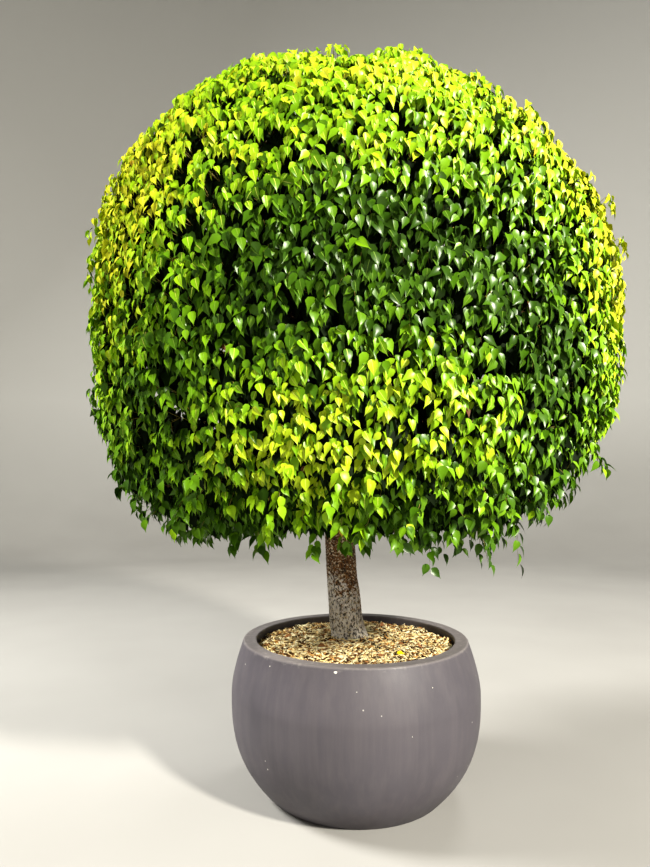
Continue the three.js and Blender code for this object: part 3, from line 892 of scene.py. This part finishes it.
# ------------------------------------------------------------------ leaves
def leaf_template(rows, widths):
    """The outline of a drip-tipped blade, flat, its two halves sharing the midrib, in its own frame: u along it from 0
    to 1, v across it from -1 to 1.
    """
    n = len(rows)
    u, v, tri = list(rows), [0.0] * n, []
    for half in (-1, 1):
        edge = []
        for t, w in zip(rows[1:-1], widths[1:-1]):
            edge.append(len(u))
            u.append(t)
            v.append(half * w)

        def add(a, b, c):
            tri.append((a, b, c) if half > 0 else (a, c, b))

        add(0, 1, edge[0])
        for i in range(len(edge) - 1):
            add(i + 1, i + 2, edge[i + 1])
            add(i + 1, edge[i + 1], edge[i])
        add(n - 2, n - 1, edge[-1])
    return np.array(u), np.array(v), np.array(tri)


FINE = leaf_template([0, 0.07, 0.24, 0.47, 0.68, 0.82, 1.0], [0, 0.6, 1.0, 0.9, 0.46, 0.13, 0])
MIDDLE = leaf_template([0, 0.1, 0.38, 0.74, 1.0], [0, 0.7, 1.0, 0.34, 0])
COARSE = leaf_template([0, 0.22, 0.62, 1.0], [0, 0.9, 0.78, 0])
INNER = leaf_template([0, 0.36, 1.0], [0, 1.0, 0])
# the midrib strip is paler than a real midrib: part pale midrib, part painted highlight along the fold
RIB = (np.array([0.02, 0.02, 0.24, 0.24, 0.5, 0.5, 0.84, 0.84]), np.array([-1.0, 1.0, -0.9, 0.9, -0.65, 0.65, -0.3, 0.3]),
       np.array([(0, 1, 3), (0, 3, 2), (2, 3, 5), (2, 5, 4), (4, 5, 7), (4, 7, 6)]))  # the pale midrib, a tapered strip


def lay_leaves(template, base, axis, face, length, width, fold, droop, wave, phase, twig=None):
    """Vertices and triangles of many leaves at once, each with a stalk of one sliver from its twig when twig is given."""
    u, v, tri = template
    axis = unit(axis)
    face = unit(face - axis * dot(face, axis))
    side = np.cross(axis, face)
    n = len(base)
    uu, vv = u[None, :], v[None, :]
    # the blade bends down along its length, most near the stalk and again at the drip tip
    bend = droop[:, None] * uu**0.8
    along = np.sin(bend) / np.maximum(droop[:, None], 1e-4) * np.where(uu > 0, uu**0.2, 0)
    drop = (1 - np.cos(bend)) / np.maximum(droop[:, None], 1e-4) * np.where(uu > 0, uu**0.2, 0) + 0.12 * np.clip(uu - 0.76, 0, 1)
    half_w = width[:, None] / 2
    across = vv * half_w * np.cos(fold)[:, None]
    lift = np.abs(vv) * half_w * np.sin(fold)[:, None]
    ripple = wave[:, None] * np.abs(vv) * np.sin(uu * 9 + phase[:, None] + 2 * np.sign(vv))
    out = -drop * length[:, None] + lift + ripple
    pts = (base[:, None] + axis[:, None] * (along * length[:, None])[..., None]
           + side[:, None] * across[..., None] + face[:, None] * out[..., None])
    k = len(u)
    if twig is not None:
        w = 0.0009
        pts = np.concatenate([pts, (twig)[:, None], (base + side * w)[:, None], (base - side * w)[:, None]], 1)
        tri = np.vstack([tri, [[k, k + 1, k + 2]]])
        k += 3
    faces = tri[None] + (np.arange(n) * k)[:, None, None]
    return pts.reshape(-1, 3), faces.reshape(-1, 3)


LEAVES_EACH, INNER_EACH, DEEP_LEAVES = 5, 8, 12500
LEAF = 0.061


def leaf_places():
    """Every leaf: twig point, base, axis, facing, size, tone, age and class (0 fine, 1 middle, 2 coarse, 3 inmost). A leaf leaves its
    twig sideways and outwards and arches over, so that its drip tip points down; the pairs part to the left and right."""
    out = {k: [] for k in ("twig", "base", "axis", "face", "length", "age", "tone", "grade", "rib", "old_and_shaded")}

    def add(at, sign, heading, size, age, grade, ahead, across, wall, tone):
        n = len(at)
        lying = unit(heading * [1, 1, 0] + 1e-4)
        h = (wall * (0.5 * ahead + sign * (0.35 + 0.6 * rng.random((n, 1))) * across)
             + (1 - wall) * (0.9 * lying + sign * 0.5 * np.cross(UP, lying)) + 0.33 * rng.normal(size=(n, 3)))
        h = unit(h * [1, 1, 0])
        dip = np.radians(30 + 28 * wall + 13 * rng.normal(size=(n, 1)))
        out["axis"].append(unit(h * np.cos(dip) + DOWN * np.sin(dip)))
        out["face"].append(unit(wall * ahead + (1.15 - 0.6 * wall) * UP + 0.25 * h + 0.37 * rng.normal(size=(n, 3))))
        stalk = unit(0.8 * h + 0.3 * UP + 0.25 * rng.normal(size=(n, 3)))
        out["twig"].append(at)
        out["base"].append(at + stalk * 0.010)
        out["length"].append(LEAF * (0.8 + 0.4 * rng.random(n)) * size * (1 - 0.15 * np.clip(tone, 0, 1)))
        out["age"].append(age)
        out["tone"].append(tone)
        out["grade"].append(grade)
        out["rib"].append(np.zeros(n, bool))
        out["old_and_shaded"].append(np.zeros(n, bool))

    def along(path, s):
        f = s * (path.shape[1] - 1)
        i = np.minimum(f.astype(int), path.shape[1] - 2)
        w = (f - i)[:, None]
        rows = np.arange(len(path))
        return path[rows, i] * (1 - w) + path[rows, i + 1] * w, path[rows, i + 1] - path[rows, i]

    n = len(S)
    flat = SN * [1, 1, 0]
    wall = np.clip(np.linalg.norm(flat, axis=1, keepdims=True) * 1.5 - 0.25, 0, 1)
    edge = ((SN[:, 2:3] < 0) & (S_UNDER[:, None] < 0.5))
    wall = np.where(S_UNDER[:, None] > 0, 0.2, np.where(edge, np.maximum(wall, 0.75), wall))
    ahead = unit(np.where(edge, S * [1, 1, 0], flat) + 1e-5)
    across = unit(np.cross(np.broadcast_to(UP, SN.shape) + 0.02 * rng.normal(size=(n, 3)), ahead))
    for k in range(SHOOTS.shape[0]):
        for j in range(LEAVES_EACH):
            s = np.clip(0.2 + 0.8 * ((j + 0.3 + 0.4 * rng.random(n)) / (LEAVES_EACH - 0.5)) ** 0.8, 0, 1)
            at, heading = along(SHOOTS[k], s)
            grade = np.where((j >= LEAVES_EACH - 2) & (S_UNDER < 0.5), 0, 1)
            add(at, 1 if j % 2 else -1, heading, 0.8 if j == LEAVES_EACH - 1 else 1, 1 - s, grade, ahead, across, wall, TONE)
            out["rib"][-1][:] = (j >= LEAVES_EACH - 2) & (S_UNDER < 0.5)
            # the first leaves of each shoot and all leaves under the head get darker tints: older leaves, and painted
            # shade
            out["old_and_shaded"][-1][:] = (j < LEAVES_EACH // 2) | (S_UNDER > 0.5)
    # older, larger leaves on the wood behind, which close the view into the head; their dark tints are partly painted
    # shade
    back = unit(SPRAY_FROM - SPRAY_FEET)
    for j in range(INNER_EACH):
        far = 0.008 + 0.1 * (j + rng.random(n)) / INNER_EACH
        add(SPRAY_FEET + back * far[:, None], 1 if j % 2 else -1, -back, 1.32, 1.5 * np.ones(n), np.full(n, 2 if j < 2 else 3), ahead, across, wall, TONE)
    # seen from above, hanging leaves part: the sprays on top bear some more, lying flat, at the feet of their shoots
    t = np.flatnonzero(SN[:, 2] > 0.35)
    for j in range(4):
        at, heading = along(SHOOTS[j % SHOOTS_EACH, t], 0.05 + 0.3 * rng.random(len(t)))
        add(at, 1 if j % 2 else -1, heading, 1.4, np.full(len(t), 1.5), np.full(len(t), 3), ahead[t], across[t], 0 * wall[t], TONE[t] + 0.7)
    # leaves all through the inside, spread so that no part of it is crowded or bare
    core = np.linalg.norm((WOOD_FROM - [0, 0, 2.35]) / [1.3, 1.3, 1.2], axis=1)
    long = np.linalg.norm(WOOD_TO - WOOD_FROM, axis=1) * (WOOD_FROM[:, 2] > 1.6) * np.where(core < 0.84, 1.0, 0.12)
    pool = rng.choice(len(long), 4 * DEEP_LEAVES, p=long / long.sum())
    at = WOOD_FROM[pool] + (WOOD_TO - WOOD_FROM)[pool] * rng.random((len(pool), 1))
    _, cell, crowd = np.unique(np.floor(at / 0.13).astype(int), axis=0, return_inverse=True, return_counts=True)
    share = 1 / crowd[cell.reshape(-1)]
    take = rng.choice(len(pool), DEEP_LEAVES, replace=False, p=share / share.sum())
    q, at = pool[take], at[take]
    ahead_in = unit(at * [1, 1, 0] + 0.1 * rng.normal(size=at.shape))
    add(at, np.where(rng.random((DEEP_LEAVES, 1)) < 0.5, -1, 1), (WOOD_TO - WOOD_FROM)[q], 1.76, np.full(DEEP_LEAVES, 1.5), np.full(DEEP_LEAVES, 3),
        ahead_in, unit(np.cross(UP, ahead_in)), np.full((DEEP_LEAVES, 1), 0.7), np.zeros(DEEP_LEAVES))
    # the hanging shoots
    m = len(HANGING)
    side = unit(np.cross(UP, HANG_AHEAD))
    # the hanging shoots' tints are scaled down, most under the head: painted shade
    tone = np.clip(tone_at(HANGING[:, 0]) * HANG_TONE, 0, 1)
    for j in range(8):
        s = np.clip(0.1 + 0.9 * (j + 0.5 * rng.random(m)) / 7.5, 0, 1)
        at, heading = along(HANGING, s)
        add(at, 1 if j % 2 else -1, heading, 1.0, 1 - s, np.zeros(m, int), HANG_AHEAD, side, np.full((m, 1), 0.85), tone)
    return {k: np.concatenate(v) for k, v in out.items()}


TINTS = [  # from deep green to fresh yellow
    ("leaf_deep", srgb(49, 78, 16), 0.32),
    ("leaf_dark", srgb(66, 101, 17), 0.33),
    ("leaf_mid", srgb(86, 124, 19), 0.34),
    ("leaf_green", srgb(112, 154, 22), 0.35),
    ("leaf_lime", srgb(138, 176, 26), 0.36),
    ("leaf_bright", srgb(161, 184, 34), 0.38),
    ("leaf_yellow", srgb(184, 187, 42), 0.40),
]
# tints of the leaves inside the head, darker than any outer tint: older leaves and painted shade
SHADED = [("leaf_shaded", srgb(17, 29, 8), 0.7), ("leaf_shaded_old", srgb(25, 43, 8), 0.7), ("leaf_shaded_old_green", srgb(38, 62, 8), 0.7)]
ODD = [("leaf_brown", srgb(88, 54, 26), 0.6), ("leaf_gold", srgb(190, 160, 40), 0.5)]


def build_leaves():
    L = leaf_places()
    n = len(L["length"])
    outer = L["grade"] < 2
    lower = smooth01((2.8 - L["base"][:, 2]) / 0.5)
    # a leaf's tint: the tone of its place, some at random, darker with age, and darker on the first leaves of each
    # shoot and under the head, older leaves and painted shade; low down these are darker still and the outer leaves a
    # little yellower, painted shade and painted light
    value = L["tone"] * 5.4 + 0.3 + rng.normal(size=n) * 0.75 + (0.5 - np.minimum(L["age"], 1)) * 1.0 - L["old_and_shaded"] * 1.0
    value += lower * np.where(L["old_and_shaded"], -0.6 - 0.7 * L["tone"], 0.1 * L["tone"])
    value = np.minimum(value, 5.2 + 2 * smooth01((L["base"][:, 2] - 2.15) / 0.45))  # the yellowest leaves are all high up
    # the leaves inside the head take these shaded tints by the tone of their place: painted shade
    old = L["tone"] * 1.4 + rng.normal(size=n) * 0.7
    tint = np.where(outer, np.clip(np.round(value), 0, len(TINTS) - 1), len(TINTS) + np.clip(np.round(old), 0, len(SHADED) - 1)).astype(int)
    # the darkest of these take the lightest of the inner shaded tints: painted shade
    tint[outer & L["old_and_shaded"] & (value < -0.7)] = len(TINTS) + 2
    odd = rng.random(n)
    tint[outer & (odd < 0.0009)] = len(TINTS) + len(SHADED)
    tint[outer & (odd >= 0.0009) & (odd < 0.0016)] = len(TINTS) + len(SHADED) + 1
    width = L["length"] * (0.55 + 0.09 * rng.random(n))
    fold = np.radians(9 + 20 * rng.random(n))
    droop = np.radians(22 + 34 * rng.random(n))
    wave = 0.0012 * rng.random(n)
    phase = rng.random(n) * 6.28
    total = 0
    for i, (name, colour, rough) in enumerate(TINTS + SHADED + ODD):
        skin = plain(name, colour, rough, 0.1 if rough > 0.6 else 0.24)
        for grade, kind, template in ((0, "", FINE), (1, "_second", MIDDLE), (2, "", COARSE), (3, "_inner", INNER)):
            pick = np.flatnonzero((tint == i) & (L["grade"] == grade))
            limit = 190000 // (len(template[2]) + 1)
            for part, start in enumerate(range(0, len(pick), limit)):
                q = pick[start : start + limit]
                v, f = lay_leaves(template, L["base"][q], L["axis"][q], L["face"][q], L["length"][q], width[q], fold[q], droop[q],
                                  wave[q], phase[q], L["twig"][q] if grade == 0 else None)
                ob = mesh_object(f"{name}{kind}_{part + 1}", v, f, skin)
                piece(ob, "foliage", "crown")
                total += len(f)
    # raised midribs on the outer leaves, paler on the yellower ones: partly pale midrib, partly a painted highlight
    # along the fold
    for name, colour, want in (("rib_pale_painted_glint", srgb(200, 210, 98), L["tone"] >= 0.3), ("rib_green", srgb(120, 150, 58), L["tone"] < 0.3)):
        q = np.flatnonzero(L["rib"] & want)
        face = unit(L["face"][q] - unit(L["axis"][q]) * dot(L["face"][q], unit(L["axis"][q])))
        v, f = lay_leaves(RIB, L["base"][q] + face * 0.0009, L["axis"][q], L["face"][q], L["length"][q], np.full(len(q), 0.0022), np.zeros(len(q)),
                          droop[q], np.zeros(len(q)), phase[q])
        piece(mesh_object(name, v, f, plain(name, colour, 0.45, 0.3)), "foliage", "crown")
        total += len(f)
    print("LEAVES", n, "grades", np.bincount(L["grade"]), "triangles", total, "sprays", len(S), "hanging", len(HANGING))


build_leaves()


# ------------------------------------------------------------------ mulch: an uneven bed and loose chips of bark and wood
STEM_FOOT = np.array([-0.026, 0.104])


def mulch_level(x, y):
    d = np.hypot(x - STEM_FOOT[0], y - STEM_FOOT[1])
    X, Y = x * 1000, y * 1000
    return (0.717 + 0.025 * np.exp(-((d / 0.175) ** 2))
            + 0.004 * (0.6 * np.sin(X / 61 + 0.4) * np.cos(Y / 73) + 0.5 * np.sin(Y / 47 + X / 90 + 2.1)))


def stem_reach(angle, z):
    """Radius of the stem's foot in a direction, at height z."""
    die = np.exp(-(z - STEM[0, 0]) / FLARE_RISE)
    lobes = sum(s * np.maximum(0, np.cos(angle - math.radians(d))) ** 5 for d, s in LOBES)
    return np.interp(z, STEM[:, 0], STEM[:, 3]) + FLARE * die * lobes


def build_mulch():
    # bed: rings round the stem's foot, from the stem out to the pot's wall
    around, rows = 120, 30
    a = np.linspace(0, 2 * np.pi, around, endpoint=False)
    inner_r = stem_reach(a, 0.735) + 0.001
    u = np.linspace(0, 1, rows)[:, None]
    dx, dy = np.cos(a), np.sin(a)
    b = STEM_FOOT[0] * dx + STEM_FOOT[1] * dy
    outer_r = -b + np.sqrt(b**2 - (STEM_FOOT**2).sum() + 0.5185**2)
    r = inner_r + (outer_r - inner_r) * u
    x, y = STEM_FOOT[0] + r * dx, STEM_FOOT[1] + r * dy
    z = mulch_level(x, y) - 0.004
    p = np.stack([x, y, z], -1)
    p[..., 2] += 0.0028 * value_noise(p, 45, 81) + 0.0015 * value_noise(p, 110, 82)
    base = p.copy()
    base[..., 2] = 0.6906
    k = rows * around
    top_f = as_triangles(grid_faces(rows, around))
    f = [top_f, top_f[:, ::-1] + k]
    j = np.arange(around)
    j2 = (j + 1) % around
    for row, flip in ((0, False), (rows - 1, True)):
        q = np.stack([row * around + j, row * around + j2, k + row * around + j2, k + row * around + j], -1)
        q = as_triangles(q)
        f.append(q[:, ::-1] if not flip else q)
    g = Graph("mulch_bed")
    g.link(g.ramp(g.noise(70, 5, 0.75), [(0.3, srgb(58, 38, 22)), (0.55, srgb(116, 80, 44)), (0.75, srgb(176, 132, 78))], True), g.bsdf.inputs["Base Color"])
    g.bsdf.inputs["Roughness"].default_value = 0.92
    g.bump(g.noise(160, 5, 0.7), 0.8, 0.006)
    faces = np.vstack(f)
    bed = mesh_object("mulch_bed", np.vstack([p.reshape(-1, 3), base.reshape(-1, 3)]), faces, g.m, False)
    piece(bed, "mulch", "mulch")
    # chips: split slivers, tapered and a little bent, lying at all angles
    r2 = np.random.default_rng(77)
    count = 5400
    rad = 0.512 * np.sqrt(r2.random(count))
    ang = r2.random(count) * 2 * np.pi
    cx, cy = rad * np.cos(ang), rad * np.sin(ang)
    away = np.arctan2(cy - STEM_FOOT[1], cx - STEM_FOOT[0])
    dist = np.hypot(cx - STEM_FOOT[0], cy - STEM_FOOT[1])
    length = 0.013 + 0.034 * r2.random(count) ** 1.6
    ok = dist > stem_reach(away, 0.74) + length * 0.3
    wide = length * (0.16 + 0.3 * r2.random(count))
    thick = 0.0012 + 0.0022 * r2.random(count)
    yaw = r2.random(count) * 2 * np.pi
    tilt = r2.normal(size=count) * 0.22
    roll = r2.normal(size=count) * 0.4
    room = 0.5175 - np.hypot(cx + np.cos(yaw) * length * 0.5 * np.sign(cx * np.cos(yaw) + cy * np.sin(yaw)),
                             cy + np.sin(yaw) * length * 0.5 * np.sign(cx * np.cos(yaw) + cy * np.sin(yaw)))
    ok &= room > 0.001
    cx, cy, length, wide, thick, yaw, tilt, roll = (q[ok] for q in (cx, cy, length, wide, thick, yaw, tilt, roll))
    n = len(cx)
    cz = mulch_level(cx, cy) + 0.0015 + 0.009 * r2.random(n) ** 1.3
    us = np.array([-1, -1, -1, -1, 1, 1, 1, 1]) / 2
    vs = np.array([-1, 1, 1, -1] * 2) / 2
    ws = np.array([-1, -1, 1, 1] * 2) / 2
    taper = 1 - (0.25 + 0.6 * r2.random(n))[:, None] * (us[None] > 0.2) - (0.5 * r2.random(n))[:, None] * (us[None] < -0.2)
    jag = 1 + 0.25 * r2.normal(size=(n, 8))
    X = us[None] * length[:, None]
    Y = vs[None] * wide[:, None] * taper * jag
    Z = ws[None] * thick[:, None] + us[None] * vs[None] * (wide * 0.5 * r2.normal(size=n))[:, None]
    cr, sr = np.cos(roll)[:, None], np.sin(roll)[:, None]
    Y, Z = Y * cr - Z * sr, Y * sr + Z * cr
    ct, st = np.cos(tilt)[:, None], np.sin(tilt)[:, None]
    X, Z = X * ct - Z * st, X * st + Z * ct
    cw, sw = np.cos(yaw)[:, None], np.sin(yaw)[:, None]
    P = np.stack([cx[:, None] + X * cw - Y * sw, cy[:, None] + X * sw + Y * cw, cz[:, None] + Z], -1)
    quads = [(e, (e + 1) % 4, 4 + (e + 1) % 4, 4 + e) for e in range(4)] + [(0, 3, 2, 1), (4, 5, 6, 7)]
    tri = [t for q in quads for t in ((q[0], q[1], q[2]), (q[0], q[2], q[3]))]
    tri = np.array(tri)
    kinds = [("chip_straw", srgb(244, 232, 190)), ("chip_tan", srgb(228, 204, 148)), ("chip_orange", srgb(206, 156, 90)),
             ("chip_brown", srgb(146, 106, 66)), ("chip_dark", srgb(82, 60, 40))]
    share = r2.choice(len(kinds), n, p=[0.4, 0.31, 0.1, 0.11, 0.08])
    for i, (name, colour) in enumerate(kinds):
        q = np.flatnonzero(share == i)
        f = (tri[None] + (np.arange(len(q)) * 8)[:, None, None]).reshape(-1, 3)
        ob = mesh_object(name, P[q].reshape(-1, 3), f, plain(name, colour, 0.85, 0.25), False)
        piece(ob, "mulch")
    # leaves that have dropped on the mulch: one fresh yellow, a few dry
    r3 = np.random.default_rng(12)
    spots = [(0.198, -0.234, 1)] + [(0.46 * math.sqrt(r3.random()) * math.cos(t), 0.46 * math.sqrt(r3.random()) * math.sin(t), 0) for t in r3.random(16) * 6.28]
    for name, colour, want in (("fallen_yellow", srgb(236, 214, 20), 1), ("fallen_dry", srgb(150, 100, 56), 0)):
        xy = np.array([(x, y) for x, y, w in spots if w == want and math.hypot(x - STEM_FOOT[0], y - STEM_FOOT[1]) > 0.16])
        m = len(xy)
        b = np.column_stack([xy, mulch_level(xy[:, 0], xy[:, 1]) + 0.017])
        axis = unit(np.column_stack([r3.normal(size=(m, 2)), 0.1 * r3.normal(size=m)]))
        face = unit(np.array([0, 0, 1.0]) + 0.25 * r3.normal(size=(m, 3)))
        size = 0.05 + 0.012 * r3.random(m)
        fold, droop = np.radians(10 + 15 * r3.random(m)), np.radians(10 + 20 * r3.random(m))
        if want:  # it lies open towards the light
            axis, face, size, fold, droop = np.array([[0.95, -0.3, -0.1]]), np.array([[0.2, -0.5, 0.85]]), size * 0.72, fold * 0.3, droop * 0.3
        v, f = lay_leaves(FINE, b, axis, face, size, size * 0.62, fold, droop, 0.001 * np.ones(m), np.zeros(m))
        piece(mesh_object(name, v, f, plain(name, colour, 0.5)), "foliage")


build_mulch()
